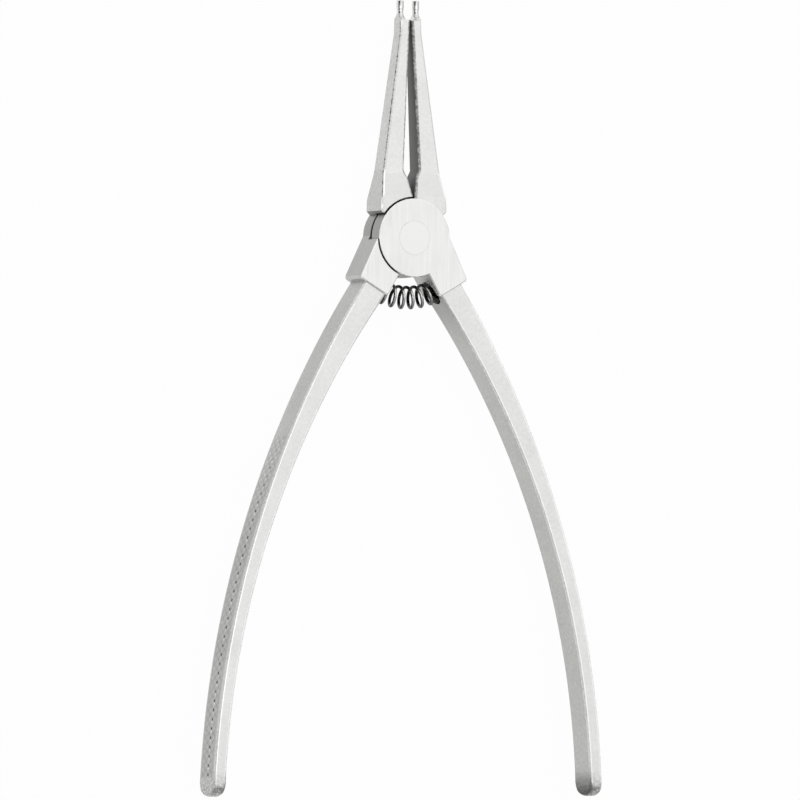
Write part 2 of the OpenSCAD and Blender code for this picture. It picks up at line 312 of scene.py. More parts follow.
def handle_ring(palm_turn, inner_turn, half, inset, edge):
    """One section of the right handle: a rounded bar between the palm arc and the inner arc."""
    palm_centre = from_ray(PALM_MID, PALM_OUT - PALM_RADIUS)
    inner_centre = from_ray(INNER_MID, INNER_OUT - INNER_RADIUS)
    rounding = [math.pi / 2 * step / EDGE_STEPS for step in range(EDGE_STEPS + 1)]
    corner = [(edge * (1 - math.sin(bend)), half - edge * (1 - math.cos(bend))) for bend in rounding]
    upper = [(palm_centre, palm_turn, PALM_RADIUS - inset - back, lift) for back, lift in corner[::-1]]
    upper += [(inner_centre, inner_turn, INNER_RADIUS + inset + back, lift) for back, lift in corner]
    ring = upper + [(centre, turn, reach, -lift) for centre, turn, reach, lift in upper[::-1]]
    return [
        Vector((centre.x + reach * math.cos(turn), centre.y + reach * math.sin(turn), lift))
        for centre, turn, reach, lift in ring
    ]


def handle_rings():
    """The sections of the right handle, from inside the shoulder to the domed end."""
    palm_centre = from_ray(PALM_MID, PALM_OUT - PALM_RADIUS)
    inner_centre = from_ray(INNER_MID, INNER_OUT - INNER_RADIUS)
    half = HANDLE_THICKNESS / 2

    def turns_at(y):
        return math.asin((y - palm_centre.y) / PALM_RADIUS), math.asin((y - inner_centre.y) / INNER_RADIUS)

    palm_root = HANDLE_ANGLE - math.asin((HANDLE_ROOT - PALM_MID) / PALM_RADIUS)
    inner_root = HANDLE_ANGLE - math.asin((HANDLE_ROOT - INNER_MID) / INNER_RADIUS)
    palm_dome, inner_dome = turns_at(HANDLE_DOME - HANDLE_LENGTH)
    rings = []
    for step in range(HANDLE_RINGS):
        share = step / HANDLE_RINGS
        palm_turn = palm_root + share * (palm_dome - palm_root)
        inner_turn = inner_root + share * (inner_dome - inner_root)
        rings.append(handle_ring(palm_turn, inner_turn, half, 0.0, HANDLE_EDGE))
    for step in range(DOME_STEPS + 1):
        bend = math.pi / 2 * step / DOME_STEPS
        left = HANDLE_DOME * (1 - math.sin(bend))
        depth = half - HANDLE_DOME * (1 - math.cos(bend))
        short = max(HANDLE_CORNER - left, 0.0)
        inset = HANDLE_CORNER - math.sqrt(HANDLE_CORNER ** 2 - short ** 2)
        palm_turn, inner_turn = turns_at(left - HANDLE_LENGTH)
        outer = palm_centre.x + (PALM_RADIUS - inset) * math.cos(palm_turn)
        width = outer - inner_centre.x - (INNER_RADIUS + inset) * math.cos(inner_turn)
        edge = HANDLE_EDGE * (1 + math.sin(bend))
        edge = min(edge, DOME_EDGE_SHARE * depth, END_EDGE_SHARE * width)
        ring = handle_ring(palm_turn, inner_turn, depth, inset, edge)
        rings.append([Vector((point.x, left - HANDLE_LENGTH, point.z)) for point in ring])
    return rings


def made_object(name, bm):
    """A new object in the scene with the mesh that was built."""
    mesh = bpy.data.meshes.new(name)
    bm.to_mesh(mesh)
    bm.free()
    made = bpy.data.objects.new(name, mesh)
    bpy.context.collection.objects.link(made)
    return made


def handle_bar(way):
    """The handle as a mesh, with the spring's seat bored in its root."""
    place = Matrix.Translation((0, 0, MID_HEIGHT)) @ Matrix.Diagonal((way, 1, way, 1))
    bm = bmesh.new()
    rings = [[bm.verts.new(place @ point) for point in ring] for ring in handle_rings()]
    for near, far in zip(rings, rings[1:]):
        for side in range(len(near)):
            bm.faces.new((near[side], near[side - 1], far[side - 1], far[side]))
    bm.faces.new(rings[0])
    bm.faces.new(rings[-1][::-1])
    bmesh.ops.recalc_face_normals(bm, faces=bm.faces)
    bar = made_object("handle_bar", bm)

    reach = 2 * SEAT_RADIUS
    middle = from_ray(SPRING_SEAT, SEAT_FLOOR - reach / 2)
    turn = Matrix.Rotation(HANDLE_ANGLE, 4, "Z") @ Matrix.Rotation(math.pi / 2, 4, "Y")
    bm = bmesh.new()
    bmesh.ops.create_cone(
        bm, cap_ends=True, segments=SEAT_SIDES, radius1=SEAT_RADIUS, radius2=SEAT_RADIUS, depth=reach,
        matrix=place @ Matrix.Translation(middle.to_3d()) @ turn,
    )
    drill = made_object("seat_drill", bm)
    bore = bar.modifiers.new("seat", "BOOLEAN")
    bore.operation = "DIFFERENCE"
    bore.solver = "EXACT"
    bore.object = drill
    mesh = bpy.data.meshes.new_from_object(bar.evaluated_get(bpy.context.evaluated_depsgraph_get()))
    bpy.data.objects.remove(bar)
    bpy.data.objects.remove(drill)
    return mesh


# Parts of a face's normal, and bands on the lever, that tell the finishes apart
LEVEL = 0.95
GROUND_LEVEL = 0.97
RAMP_LEVEL = 0.975
ROUNDED_LEVEL = 0.995
EDGE_LEVEL = 0.25
BURR_LEVEL = 0.6
UPRIGHT_LEVEL = 0.2
INNER_FACING = 0.75
INNER_EDGE_FACING = 0.2
SIDE_FACING = 0.5
END_FACING = 0.35
FOOT_FACING = 0.4
FOOT_LOW = 4 * MM
FOOT_HIGH = 7 * MM
GROUND_BAND = 0.1 * MM
LAP_BAND = 0.5 * MM


def lever_finish(face, foot, inward):
    """The finish of a lever's face with its lowest corner at foot. Inward is the way to the other lever."""
    middle, normal = face.center, face.normal
    reach = middle.xy.length
    lift = abs(middle.z - MID_HEIGHT)
    level = abs(normal.z)
    inner = normal.x * inward
    on_jaw = middle.y > DISC_RADIUS
    on_dome = middle.y < HANDLE_DOME - HANDLE_LENGTH
    on_top = lift > MID_HEIGHT - GROUND_BAND
    if foot > JAW_LENGTH - WELD:
        return "turned tip"
    if abs(reach - DISC_RADIUS) < SEAM_EASE and lift < SEAM_EASE:
        return "oily seam"
    # Handle end faces that turn away from the tips: partly wear, partly painted shade
    if on_dome and normal.y < -END_FACING:
        return "handle end"
    # Painted shade on the jaw faces that face the other jaw
    if on_jaw and inner > INNER_FACING and level < UPRIGHT_LEVEL:
        return "shaded inner jaw"
    if on_jaw and inner > INNER_EDGE_FACING and not on_top:
        return "inner edge"
    if on_top and level > GROUND_LEVEL:
        return "ground joint"
    if on_jaw and LEVEL < level < RAMP_LEVEL:
        return "jaw ramp"
    # Painted highlight on the first facet of the handles' rounded edges
    if LEVEL < level < ROUNDED_LEVEL and middle.y < -SHOULDER_LENGTH and not on_dome:
        return "highlight edge"
    if level > LEVEL:
        return "plated flat"
    # Painted shade on the eased outer edges of the jaws
    if on_jaw and EDGE_LEVEL < level < BURR_LEVEL and inner < -SIDE_FACING:
        return "dark jaw edge"
    # Eased and rounded edges: partly tumbled bright, partly painted highlight
    if level > EDGE_LEVEL:
        return "handle edge" if lift < HANDLE_THICKNESS / 2 and middle.y < 0 else "eased edge"
    # Painted shade on the faces at the jaw's foot that turn towards the handles
    if FOOT_LOW < middle.y < FOOT_HIGH and normal.y < -FOOT_FACING:
        return "shaded jaw foot"
    # Painted shade on the upright faces of the lap joint
    if reach < DISC_RADIUS + LAP_BAND:
        return "shaded lap side"
    if middle.y > 0:
        return "jaw side" if middle.y > JAW_ROOT else "jaw base"
    if reach < SHOULDER_LENGTH:
        return "shoulder side"
    # Painted shade: handle sides that face the other handle are a little darker
    return "inner side" if inner > SIDE_FACING else "blasted side"


# Darkening on the inner faces of the handles: towards the end, and a painted shadow under the shoulder
END_DARKENING = 1.0
ROOT_SHADOW = 0.34
ROOT_SHADOW_LENGTH = 14 * MM
DARKENING_FACING = 1.5


def held(value):
    """A value held between 0 and 1."""
    return min(max(value, 0.0), 1.0)


def darken_inner_handle(mesh, inward):
    """Darken the inner side of the handle towards its end, and paint the shoulder's shadow on it below the
    shoulder.
    """
    dirt_and_shade = mesh.attributes.new("dirt_and_shade", "FLOAT", "POINT")
    for corner, value in zip(mesh.vertices, dirt_and_shade.data):
        facing = held(DARKENING_FACING * corner.normal.x * inward)
        at_end = held((WORN_LENGTH - HANDLE_LENGTH - corner.co.y) / WORN_LENGTH)
        past_shoulder = corner.co.xy.length - SHOULDER_LENGTH
        at_root = held(1 - past_shoulder / ROOT_SHADOW_LENGTH) if past_shoulder > 0 > corner.co.y else 0.0
        # Painted shadow by the shoulder, and darkening towards the end
        value.value = facing * max(END_DARKENING * at_end, ROOT_SHADOW * at_root)


def eased_lever(node, inward):
    """The forging with its crisp outer edges eased, its handle on it and its faces finished."""
    way = -inward
    bm = bmesh.new()
    bm.from_mesh(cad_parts[node].data)
    bmesh.ops.remove_doubles(bm, verts=bm.verts, dist=WELD)
    bmesh.ops.dissolve_limit(bm, angle_limit=FLAT_ANGLE, verts=bm.verts, edges=bm.edges)
    ray = from_ray(1, 0).to_3d() * Vector((way, 1, 0))
    whole = bm.verts[:] + bm.edges[:] + bm.faces[:]
    foot = ray * (SHOULDER_LENGTH - SAW_ALLOWANCE)
    sawn = bmesh.ops.bisect_plane(bm, geom=whole, plane_co=foot, plane_no=ray, clear_outer=True)
    rim = [part for part in sawn["geom_cut"] if isinstance(part, bmesh.types.BMEdge)]
    bmesh.ops.edgeloop_fill(bm, edges=rim)
    bmesh.ops.recalc_face_normals(bm, faces=bm.faces)
    weight = bm.edges.layers.float.new("bevel_weight_edge")
    for edge in bm.edges:
        if edge.calc_face_angle_signed(0) > CRISP_ANGLE:
            edge[weight] = ease_of(edge, way) / JAW_EASE
    blank = made_object(node + "_blank", bm)
    ease = blank.modifiers.new("ease", "BEVEL")
    ease.limit_method = "WEIGHT"
    ease.offset_type = "OFFSET"
    ease.width = JAW_EASE
    ease.segments = EASE_STEPS
    ease.use_clamp_overlap = False
    head = bpy.data.meshes.new_from_object(blank.evaluated_get(bpy.context.evaluated_depsgraph_get()))
    bpy.data.objects.remove(blank)
    bm = bmesh.new()
    bm.from_mesh(head)
    trim_jaw_end(bm)
    bm.from_mesh(handle_bar(way))
    mesh = bpy.data.meshes.new(node)
    bm.to_mesh(mesh)
    bm.free()
    feet = [min(mesh.vertices[corner].co.y for corner in face.vertices) for face in mesh.polygons]
    finish_faces(mesh, lambda face: lever_finish(face, feet[face.index], inward))
    darken_inner_handle(mesh, inward)
    return mesh


def slant(face):
    """Whether a face is flat with the table (0), upright (1) or between (2)."""
    if abs(face.normal.z) > LEVEL_SLANT:
        return 0
    return 1 if abs(face.normal.z) < UPRIGHT_SLANT else 2


def shade(mesh):
    """Smooth the round faces and keep the flat and upright ones clear of the edges beside them."""
    bm = bmesh.new()
    bm.from_mesh(mesh)
    for face in bm.faces:
        face.smooth = True
    for edge in bm.edges:
        bend = abs(edge.calc_face_angle_signed(0))
        heights = [corner.co.y for corner in edge.verts]
        rounded = max(heights) > JAW_LENGTH + WELD or max(heights) < -SHOULDER_LENGTH
        kinds = {slant(face) for face in edge.link_faces}
        edge.smooth = bend < SHADED_ANGLE and (rounded or bend < CREASE_ANGLE or len(kinds) < 2)
    bm.to_mesh(mesh)
    bm.free()


lever_steel = plated_steel()
for body, inward in (("left", 1), ("right", -1)):
    node = body + "_lever"
    lever = bpy.data.objects.new(body + "_forging", eased_lever(node, inward))
    bpy.context.collection.objects.link(lever)
    shade(lever.data)
    lever.data.materials.append(lever_steel)
    shading = lever.modifiers.new("flat faces", "WEIGHTED_NORMAL")
    shading.keep_sharp = True
    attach(lever, body)
    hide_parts(node)

# Knurl
# The palm side of each handle is rolled with a fine diamond knurl, from below the shoulder to just
# above the rounded end. The roller bites deepest along one line, where the grooves cross in small pits
# with a lip of raised metal below. Grooves and pits are darkened, partly for dirt and partly as painted
# shade, and the lips carry a painted highlight.
KNURL_SIZES = {
    "Radius": PALM_RADIUS,
    "Start": math.radians(2.6),  # turn about the palm's centre at which the strip begins
    "Length": 82.3 * MM,
    "Width": 6.3 * MM,
    "Thickness": 0.3 * MM,
    "Pitch": 2.08 * MM,  # from groove to groove, along the handle
    "Cross": 2.6 * MM,  # the same, across it
    "Groove": 0.22,  # half width of a groove, as a share of the pitch
    "Plain groove": 0.26,  # share of the depth that a groove has away from the pits
    "Depth": 0.05 * MM,
    "Proud": 0.12 * MM,  # rise of the rolled metal from the rim of the strip
    "Fade": 0.25 * MM,  # band along the sides in which it rises
    "End slope": 0.12,  # share of that slope at the two ends
    "Shown from": 0.55,  # share of the rise from which the dirt and painted shade, and the lips' painted highlight, show
    "Deep line": 0.65 * MM,  # how far the deepest line lies off the middle
    "Deep width": 0.8 * MM,
    "Least pit": 0.7,  # depth of the pits, as a share of the full depth
    "Most pit": 1.9,
    "Pit grain": 700.0,
    "Lip below": 0.66 * MM,
    # How strong the lips' painted highlight is
    "Lip shine": 1.6,
    "Least wear": 0.35,  # share of a plain groove left where it is most worn
    "Wear grain": 420.0,
    "Top from": 0.70,  # shares of the length between which pits give way to bright lips
    "Top to": 0.97,
    "Top fade": 0.8,
    "Top lip": 0.9,
    "Film": 0.16,  # dirt left all over, and at the top
    "Top film": 0.03,
}
KNURL_COUNTS = {"Along": 600, "Across": 42, "Seed": 7}
SEED_STEP = 0.37
FINISHES["knurled palm"] = {"colour": (0.60, 0.60, 0.585), "rough": 0.50, "brushed": 0.0, "blasted": 1.0}


def geometry_tree(name, sizes, counts):
    """A new geometry tree with a named input for each size and count, for its centre and its finish."""
    tree = bpy.data.node_groups.new(name, "GeometryNodeTree")
    kinds = dict.fromkeys(sizes, "NodeSocketFloat") | dict.fromkeys(counts, "NodeSocketInt")
    kinds |= {"Centre": "NodeSocketVector", "Finish": "NodeSocketMaterial"}
    for socket, kind in kinds.items():
        tree.interface.new_socket(socket, in_out="INPUT", socket_type=kind)
    tree.interface.new_socket("Mesh", in_out="OUTPUT", socket_type="NodeSocketGeometry")
    return tree


def end_tree(tree, mesh, finish):
    """Let a geometry tree give out a mesh of its own with the finish on it."""
    whole = add(tree, "GeometryNodeRealizeInstances", {"Geometry": mesh}).outputs[0]
    finished = add(tree, "GeometryNodeSetMaterial", {"Geometry": whole, "Material": finish}).outputs[0]
    add(tree, "NodeGroupOutput", {"Mesh": finished})


def knurl_tree():
    """A bowed strip with two crossing sets of grooves, pits where they cross, and lips below the pits."""
    tree = geometry_tree("palm_knurl", [*KNURL_SIZES, "Way"], KNURL_COUNTS)
    size = add(tree, "NodeGroupInput").outputs
    calc = partial(math_of, tree)
    flat = {"Size X": "Length", "Size Y": "Width", "Vertices X": "Along", "Vertices Y": "Across"}
    grid = {socket: size[name] for socket, name in flat.items()}
    strip = add(tree, "GeometryNodeMeshGrid", grid).outputs["Mesh"]
    spot = add(tree, "GeometryNodeInputPosition").outputs[0]
    run, across, _ = add(tree, "ShaderNodeSeparateXYZ", {0: spot}).outputs
    half_length = calc("MULTIPLY", size["Length"], 0.5)
    half_width = calc("MULTIPLY", size["Width"], 0.5)
    along = calc("ADD", run, half_length)
    line = calc("ADD", across, size["Deep line"])
    shuffle = calc("MULTIPLY", size["Seed"], SEED_STEP)

    def groove(place, sense):
        """How near a place along the strip is to the middle of a slanting groove."""
        steps = calc(sense, calc("DIVIDE", place, size["Pitch"]), calc("DIVIDE", line, size["Cross"]))
        off = calc("ABSOLUTE", calc("SUBTRACT", steps, calc("ROUND", steps)))
        return mapped(tree, off, 0.0, size["Groove"], 1.0, 0.0)

    def uneven(scale):
        """A noise value over the strip."""
        grain = {"Vector": spot, "W": shuffle, "Scale": scale, "Detail": 2.0}
        return add(tree, "ShaderNodeTexNoise", grain, noise_dimensions="4D").outputs[0]

    # How deep the roller bites across the strip, and how much of its work is left along it
    aside = calc("DIVIDE", line, size["Deep width"])
    bite = calc("DIVIDE", 1.0, calc("ADD", 1.0, calc("MULTIPLY", aside, aside)))
    bite = calc("MULTIPLY", bite, bite)
    top = mapped(tree, calc("DIVIDE", along, size["Length"]), size["Top from"], size["Top to"], 0.0, 1.0)
    # One noise sets how worn the grooves are and how strong the lips' painted highlight is
    wear_and_highlight = uneven(size["Wear grain"])
    shine = spread(tree, wear_and_highlight, 0.0, 1.0)
    wear = spread(tree, wear_and_highlight, 1.0, size["Least wear"])

    # Plain grooves, the pits where they cross, and the lips below the pits, which carry a painted highlight
    rising, falling = groove(along, "ADD"), groove(along, "SUBTRACT")
    scored = calc("MULTIPLY", calc("MAXIMUM", rising, falling), calc("MULTIPLY", wear, size["Plain groove"]))
    crossing = calc("SQRT", calc("MULTIPLY", rising, falling))
    rolled = spread(tree, uneven(size["Pit grain"]), size["Least pit"], size["Most pit"])
    rolled = calc("MULTIPLY", rolled, calc("SUBTRACT", 1.0, calc("MULTIPLY", top, size["Top fade"])))
    pit = calc("MULTIPLY", calc("MULTIPLY", crossing, bite), rolled)
    sunk = calc("MINIMUM", calc("ADD", scored, pit), 1.0)
    # The lips: raised metal, with a painted highlight stored for the plate's colour
    above = calc("ADD", along, size["Lip below"])
    lip = calc("MULTIPLY", groove(above, "ADD"), groove(above, "SUBTRACT"))
    raised = calc("MAXIMUM", bite, calc("MULTIPLY", top, size["Top lip"]))
    lip = calc("MULTIPLY", calc("MULTIPLY", lip, raised), calc("MULTIPLY", shine, size["Lip shine"]))
    film = mapped(tree, top, 0.0, 1.0, size["Film"], size["Top film"])
    # The stain is dirt and painted shade: a film of dirt over all, darker in the grooves and pits
    stain_and_shade = calc("MINIMUM", calc("ADD", sunk, film), 1.0)

    # The strip runs out into the handle along its sides and, more slowly, at its ends
    from_side = calc("SUBTRACT", half_width, calc("ABSOLUTE", across))
    from_end = calc("SUBTRACT", half_length, calc("ABSOLUTE", run))
    from_end = calc("MULTIPLY", from_end, size["End slope"])
    inside = mapped(tree, calc("MINIMUM", from_side, from_end), 0.0, size["Fade"], 0.0, 1.0)
    shown = mapped(tree, inside, size["Shown from"], 1.0, 0.0, 1.0)
    for name, value in (("dirt_and_shade", stain_and_shade), ("lip", lip)):
        mark = {"Geometry": strip, "Name": name, "Value": calc("MULTIPLY", value, shown)}
        strip = add(tree, "GeometryNodeStoreNamedAttribute", mark).outputs[0]

    # The strip is bowed round the palm's centre and closed underneath
    rise = calc("SUBTRACT", size["Proud"], calc("MULTIPLY", size["Depth"], sunk))
    rise = calc("ADD", rise, calc("MULTIPLY", calc("MULTIPLY", size["Depth"], 0.5), lip))
    rise = calc("MULTIPLY", rise, inside)
    rise = calc("SUBTRACT", rise, calc("MULTIPLY", size["Proud"], 0.5))
    reach = calc("ADD", size["Radius"], rise)
    turn = calc("ADD", size["Start"], calc("DIVIDE", along, size["Radius"]))
    out = calc("MULTIPLY", calc("MULTIPLY", reach, size["Way"]), calc("COSINE", turn))
    up = calc("MULTIPLY", reach, calc("SINE", turn))
    lift = calc("MULTIPLY", across, size["Way"])
    step = add(tree, "ShaderNodeCombineXYZ", {0: out, 1: up, 2: lift}).outputs[0]
    place = add(tree, "ShaderNodeVectorMath", {0: size["Centre"], 1: step}, operation="ADD").outputs[0]
    bowed = add(tree, "GeometryNodeSetPosition", {"Geometry": strip, "Position": place}).outputs[0]
    inward = calc("MULTIPLY", size["Thickness"], -1.0)
    sunken = {"Mesh": bowed, "Offset Scale": inward, "Individual": False}
    under = add(tree, "GeometryNodeExtrudeMesh", sunken).outputs["Mesh"]
    under = add(tree, "GeometryNodeFlipFaces", {"Mesh": under}).outputs[0]
    both = add(tree, "GeometryNodeJoinGeometry", {"Geometry": bowed})
    tree.links.new(under, both.inputs["Geometry"])
    welded = {"Geometry": both.outputs[0], "Distance": WELD}
    end_tree(tree, add(tree, "GeometryNodeMergeByDistance", welded).outputs[0], size["Finish"])
    return tree


def grown(name, tree, sizes):
    """The plain mesh that a geometry tree grows from its named sizes."""
    source = bpy.data.objects.new(name, bpy.data.meshes.new(name))
    bpy.context.collection.objects.link(source)
    growth = source.modifiers.new("growth", "NODES")
    growth.node_group = tree
    for item in tree.interface.items_tree:
        if item.in_out == "INPUT":
            growth[item.identifier] = sizes[item.name]
    ready = source.evaluated_get(bpy.context.evaluated_depsgraph_get())
    mesh = bpy.data.meshes.new_from_object(ready)
    bpy.data.objects.remove(source)
    mesh.name = name
    return mesh


palm_knurl = knurl_tree()
palm_centre = from_ray(PALM_MID, PALM_OUT - PALM_RADIUS)
for body, way in (("left", -1.0), ("right", 1.0)):
    centre = Vector((way * palm_centre.x, palm_centre.y, MID_HEIGHT))
    sizes = {**KNURL_SIZES, **KNURL_COUNTS, "Way": way, "Centre": centre, "Finish": lever_steel}
    knurl = bpy.data.objects.new(body + "_palm_knurl", grown(body + "_palm_knurl", palm_knurl, sizes))
    finish_faces(knurl.data, lambda face: "knurled palm")
    knurl.data.shade_smooth()
    bpy.context.collection.objects.link(knurl)
    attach(knurl, body)

# Pivot rivet
# A steel rivet through both laps, peened into their countersinks and ground flush with the discs,
# so that only a hairline ring shows. It is pressed in the left lever, and the right one turns on it.
RIVET_FACE = (0.89, 0.89, 0.88, 1)
RIVET_SHADE = (0.84, 0.84, 0.83, 1)
RIVET_GRINDING = 1100
RIVET_STRETCH = (2.0, 0.08, 2.0)
RIVET_ROUGHNESS = (0.30, 0.42)
RIVET_RELIEF = 0.25


def rivet_steel():
    """Bare steel with the fine straight marks of the grinding that made it flush."""
    steel = bpy.data.materials.new("rivet_steel")
    steel.use_nodes = True
    tree = steel.node_tree
    place = add(tree, "ShaderNodeTexCoord").outputs["Object"]
    grinding = noise(tree, place, RIVET_GRINDING, detail=4, stretch=RIVET_STRETCH)
    shader = tree.nodes["Principled BSDF"]
    shader.inputs["Metallic"].default_value = 1.0
    tree.links.new(mixed(tree, grinding, RIVET_SHADE, RIVET_FACE), shader.inputs["Base Color"])
    tree.links.new(spread(tree, grinding, *RIVET_ROUGHNESS), shader.inputs["Roughness"])
    marks = {"Strength": RIVET_RELIEF, "Distance": GRINDING_DEPTH, "Height": grinding}
    tree.links.new(add(tree, "ShaderNodeBump", marks).outputs[0], shader.inputs["Normal"])
    return steel


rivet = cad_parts["pivot_rivet"]
rivet.data.materials.clear()
rivet.data.materials.append(rivet_steel())

# Return spring
# A bowed compression spring of dark oiled wire between the shoulders, with its closed end turns in
# blind pockets. It pushes the handles apart.
COIL_SIZES = {
    "Wire": 0.75 * MM,
    "Coil radius": 2.35 * MM,
    "Turns": 9.0,
    "Closed pitch": 0.80 * MM,
    "Bow radius": 16.4 * MM,
    "Bow half angle": math.radians(30),
}
COIL_COUNTS = {"Rings per turn": 36, "Sides": 12}
BOW_CENTRE = Vector((0, 3, 4.35)) * MM
WIRE_DARK = (0.025, 0.025, 0.025, 1)
# Colour of the painted highlight along the wire's crown
WIRE_HIGHLIGHT = (0.80, 0.80, 0.79, 1)
STREAK_SCALE = 1400
STREAK_TONE = (0.55, 1.0)
DRAWN_SCALE = 5000
WIRE_ROUGHNESS = (0.16, 0.26)
WIRE_RELIEF = 0.3
WIRE_DEPTH = 0.01 * MM
# Where on the wire's crown the painted highlight begins, and how wide it fades in
HIGHLIGHT_FROM = 0.35
HIGHLIGHT_SPAN = 0.5


def coil_tree():
    """A round wire wound into a coil whose axis is an arc, with closed turns at both ends."""
    tree = geometry_tree("bowed_coil", COIL_SIZES, COIL_COUNTS)
    size = add(tree, "NodeGroupInput").outputs
    calc = partial(math_of, tree)

    # How far along its axis the wire has come, turn by turn
    index = add(tree, "GeometryNodeInputIndex").outputs[0]
    turn = calc("DIVIDE", index, size["Rings per turn"])
    open_turns = calc("SUBTRACT", size["Turns"], 2.0)
    arc = calc("MULTIPLY", calc("MULTIPLY", size["Bow half angle"], 2.0), size["Bow radius"])
    open_length = calc("SUBTRACT", arc, calc("MULTIPLY", size["Closed pitch"], 2.0))
    in_open = calc("MAXIMUM", calc("SUBTRACT", turn, 1.0), 0.0)
    in_open = calc("MINIMUM", in_open, open_turns)
    in_closed = calc("SUBTRACT", turn, in_open)
    open_run = calc("MULTIPLY", in_open, calc("DIVIDE", open_length, open_turns))
    run = calc("ADD", open_run, calc("MULTIPLY", in_closed, size["Closed pitch"]))

    # The wire winds round the axis, which is bowed down round the centre
    bow = calc("SUBTRACT", calc("DIVIDE", run, size["Bow radius"]), size["Bow half angle"])
    winding = calc("MULTIPLY", turn, 2 * math.pi)
    reach = calc("MULTIPLY", size["Coil radius"], calc("COSINE", winding))
    reach = calc("ADD", size["Bow radius"], reach)
    across = calc("MULTIPLY", reach, calc("SINE", bow))
    down = calc("MULTIPLY", calc("MULTIPLY", reach, calc("COSINE", bow)), -1.0)
    sink = calc("MULTIPLY", calc("MULTIPLY", size["Coil radius"], calc("SINE", winding)), -1.0)
    step = add(tree, "ShaderNodeCombineXYZ", {0: across, 1: down, 2: sink}).outputs[0]
    spot = add(tree, "ShaderNodeVectorMath", {0: size["Centre"], 1: step}, operation="ADD").outputs[0]

    rings = calc("ADD", calc("MULTIPLY", size["Turns"], size["Rings per turn"]), 1.0)
    points = add(tree, "GeometryNodePoints", {"Count": rings, "Position": spot}).outputs[0]
    path = add(tree, "GeometryNodePointsToCurves", {"Points": points}).outputs[0]
    round_wire = {"Resolution": size["Sides"], "Radius": calc("MULTIPLY", size["Wire"], 0.5)}
    section = add(tree, "GeometryNodeCurvePrimitiveCircle", round_wire).outputs[0]
    sweep = {"Curve": path, "Profile Curve": section, "Fill Caps": True}
    end_tree(tree, add(tree, "GeometryNodeCurveToMesh", sweep).outputs[0], size["Finish"])
    return tree


def spring_steel():
    """Dark drawn wire with an oily gloss, and a painted highlight where the attribute says so."""
    steel = bpy.data.materials.new("spring_steel")
    steel.use_nodes = True
    tree = steel.node_tree
    place = add(tree, "ShaderNodeTexCoord").outputs["Object"]
    wear_and_highlight = add(tree, "ShaderNodeAttribute", attribute_name="wear_and_highlight").outputs["Fac"]
    streaks = spread(tree, noise(tree, place, STREAK_SCALE, detail=3), *STREAK_TONE)
    drawn = noise(tree, place, DRAWN_SCALE, detail=2)
    shader = tree.nodes["Principled BSDF"]
    shader.inputs["Metallic"].default_value = 1.0
    bright = math_of(tree, "MULTIPLY", wear_and_highlight, streaks)
    tree.links.new(mixed(tree, bright, WIRE_DARK, WIRE_HIGHLIGHT), shader.inputs["Base Color"])
    tree.links.new(spread(tree, drawn, *WIRE_ROUGHNESS), shader.inputs["Roughness"])
    marks = {"Strength": WIRE_RELIEF, "Distance": WIRE_DEPTH, "Height": drawn}
    tree.links.new(add(tree, "ShaderNodeBump", marks).outputs[0], shader.inputs["Normal"])
    return steel


sizes = {**COIL_SIZES, **COIL_COUNTS, "Centre": BOW_CENTRE, "Finish": spring_steel()}
spring = bpy.data.objects.new("coil_spring", grown("coil_spring", coil_tree(), sizes))
bpy.context.collection.objects.link(spring)
spring.data.shade_smooth()
spring.data.set_sharp_from_angle(angle=SHADED_ANGLE)
# Painted highlight: pale along the upward crown of the front strands, dark elsewhere
wear_and_highlight = spring.data.attributes.new("wear_and_highlight", "FLOAT", "POINT")
for point, value in zip(spring.data.vertices, wear_and_highlight.data):
    front = held((point.co.z - MID_HEIGHT) / COIL_SIZES["Coil radius"])
    crown = held((point.normal.z - HIGHLIGHT_FROM) / HIGHLIGHT_SPAN)
    value.value = front * crown
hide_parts("return_spring")
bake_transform(spring)

# Table
# A smooth white table on which the tool lies. It shows white to the camera and in the metal, and
# keeps a faint shadow.
TABLE_HALF = 4.0
TABLE_WHITE = (0.86, 0.86, 0.86, 1)
TABLE_GLOW = 0.97


def table_white():
    """Matt white that stays white where it is seen, with a share left for the shadow."""
    white = bpy.data.materials.new("table_white")
    white.use_nodes = True
    tree = white.node_tree
    tree.nodes.remove(tree.nodes["Principled BSDF"])
    rays = add(tree, "ShaderNodeLightPath").outputs
    seen = math_of(tree, "MAXIMUM", rays["Is Camera Ray"], rays["Is Glossy Ray"])
    seen = math_of(tree, "MAXIMUM", seen, rays["Is Transmission Ray"])
    matt = add(tree, "ShaderNodeBsdfDiffuse", {"Color": TABLE_WHITE}).outputs[0]
    glow = add(tree, "ShaderNodeEmission", {"Color": (1, 1, 1, 1), "Strength": 1.0}).outputs[0]
    share = math_of(tree, "MULTIPLY", seen, TABLE_GLOW)
    both = add(tree, "ShaderNodeMixShader", {0: share, 1: matt, 2: glow}).outputs[0]
    tree.links.new(both, tree.nodes["Material Output"].inputs["Surface"])
    return white


table_mesh = bpy.data.meshes.new("table")
corners = [(x * TABLE_HALF, y * TABLE_HALF, 0) for x, y in ((-1, -1), (1, -1), (1, 1), (-1, 1))]
table_mesh.from_pydata(corners, [], [(0, 1, 2, 3)])
table_mesh.materials.append(table_white())
table = bpy.data.objects.new("table", table_mesh)
bpy.context.collection.objects.link(table)

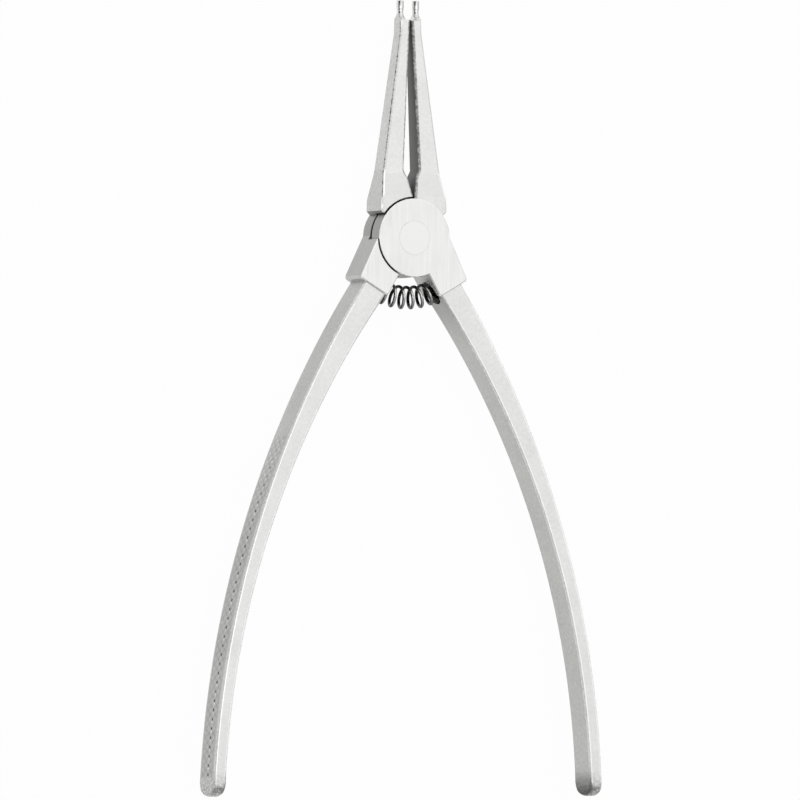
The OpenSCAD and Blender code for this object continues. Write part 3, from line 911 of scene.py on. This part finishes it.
# Light
# A pale room under a wide bright ceiling, towards the tips and a little to the right, with a soft lamp
# in it, a long strip lamp over the left side, and a dark stand beyond that. Flat faces mirror the
# ceiling, eased left edges catch the strip, and round faces show the dark stand.
CEILING_WAY = Vector((0.30, 0.45, 0.84)).normalized()
CEILING_RIM = 0.50
CEILING_CORE = 0.80
STAND_WAY = Vector((-0.67, 0.03, 0.74)).normalized()
STAND_RIM = 0.88
STAND_CORE = 0.95
WALL_SHADE = (0.46, 0.46, 0.465, 1)
CEILING_SHADE = (1.0, 1.0, 1.0, 1)
STAND_SHADE = (0.03, 0.03, 0.03, 1)
LAMP_DISTANCE = 0.9
LAMP_SIZE = 0.35
LAMP_RADIANCE = 0.35
STRIP_WAY = Vector((-0.31, 0.0, 0.95)).normalized()
STRIP_LENGTH = 1.1
STRIP_WIDTH = 0.14
STRIP_RADIANCE = 0.9
MIDDLE = Vector((0, -36, 4)) * MM

room = bpy.data.worlds.new("room")
room.use_nodes = True
bpy.context.scene.world = room
tree = room.node_tree
direction = add(tree, "ShaderNodeTexCoord").outputs["Generated"]


def cap_of(way, rim, core):
    """How far a direction lies inside a round patch of the room."""
    facing = add(tree, "ShaderNodeVectorMath", {0: direction, 1: way}, operation="DOT_PRODUCT")
    ends = {"Value": facing.outputs["Value"], "From Min": rim, "From Max": core}
    return add(tree, "ShaderNodeMapRange", ends, interpolation_type="SMOOTHSTEP").outputs["Result"]


shade_of_room = mixed(tree, cap_of(CEILING_WAY, CEILING_RIM, CEILING_CORE), WALL_SHADE, CEILING_SHADE)
shade_of_room = mixed(tree, cap_of(STAND_WAY, STAND_RIM, STAND_CORE), shade_of_room, STAND_SHADE)
tree.links.new(shade_of_room, tree.nodes["Background"].inputs["Color"])

for name, way, length, width, radiance in (
    ("soft_lamp", CEILING_WAY, LAMP_SIZE, LAMP_SIZE, LAMP_RADIANCE),
    ("strip_lamp", STRIP_WAY, STRIP_LENGTH, STRIP_WIDTH, STRIP_RADIANCE),
):
    lamp = bpy.data.lights.new(name, "AREA")
    lamp.shape = "RECTANGLE"
    lamp.size = width
    lamp.size_y = length
    lamp.energy = radiance * math.pi * length * width
    holder = bpy.data.objects.new(name, lamp)
    holder.location = MIDDLE + way * LAMP_DISTANCE
    holder.rotation_euler = way.to_track_quat("Z", "Y").to_euler()
    holder.visible_camera = False
    bpy.context.collection.objects.link(holder)

# Camera
# A long lens, two metres off, looks down on the tool from the left, so that the left sides of both
# levers show.
FRAME_PIXELS = 800
FOCAL_PIXELS = 8840
SENSOR = 36
FURTHEST_SEEN = 20
CAMERA_TURN = math.radians(26.44)
CAMERA_DIP = math.radians(1.56)
CAMERA_ROLL = math.radians(-0.38)
CAMERA_PLACE = Vector((-1.41, -36.55, 2000)) * MM

lens = bpy.data.cameras.new("camera")
lens.sensor_width = SENSOR
lens.lens = SENSOR * FOCAL_PIXELS / FRAME_PIXELS
lens.clip_end = FURTHEST_SEEN
camera = bpy.data.objects.new("camera", lens)
turn = (Matrix.Rotation(CAMERA_ROLL, 3, "Z") @ Matrix.Rotation(-CAMERA_DIP, 3, "X")
        @ Matrix.Rotation(CAMERA_TURN, 3, "Y")).transposed()
spot = turn @ CAMERA_PLACE + Vector((0, 0, MID_HEIGHT))
camera.matrix_world = Matrix.Translation(spot) @ turn.to_4x4()
bpy.context.collection.objects.link(camera)
bpy.context.scene.camera = camera
bpy.context.scene.view_settings.view_transform = "Standard"
